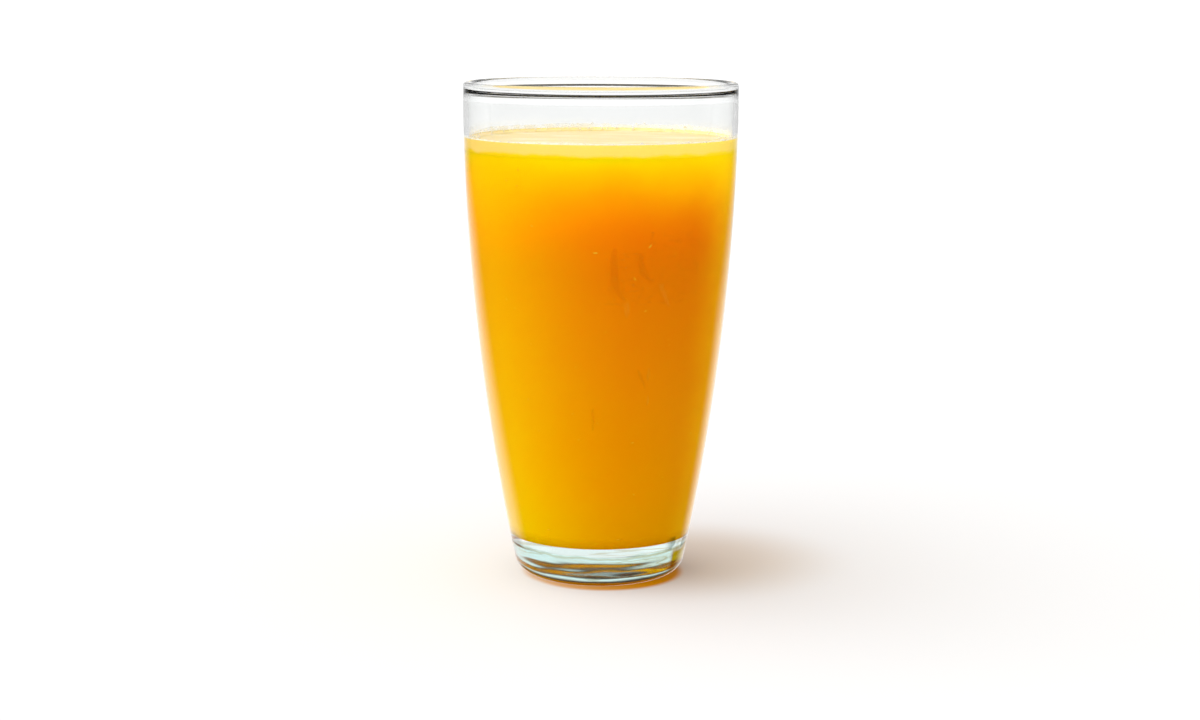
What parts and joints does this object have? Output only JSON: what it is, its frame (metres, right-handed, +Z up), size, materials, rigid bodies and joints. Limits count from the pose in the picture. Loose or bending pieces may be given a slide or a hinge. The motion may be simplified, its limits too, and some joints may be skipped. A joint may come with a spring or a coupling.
{
  "type": "glass of orange juice",
  "caption": "Tall clear glass tumbler with a barrel-curved side, rounded rim and heavy clear base, filled with orange juice under a thin layer of froth.",
  "frame": {"origin": "centre of the foot, on the surface that the glass stands on", "axes": "+Z up the glass's axis to the mouth; -Y towards the side that the picture shows"},
  "size_m": [0.0826, 0.0826, 0.15],
  "materials": {
    "glass": "gloss",
    "juice": "gloss",
    "froth": "satin"
  },
  "bodies": {
    "root": {"tumbler": "glass", "juice": "juice", "froth": "froth"}
  },
  "joints": []
}
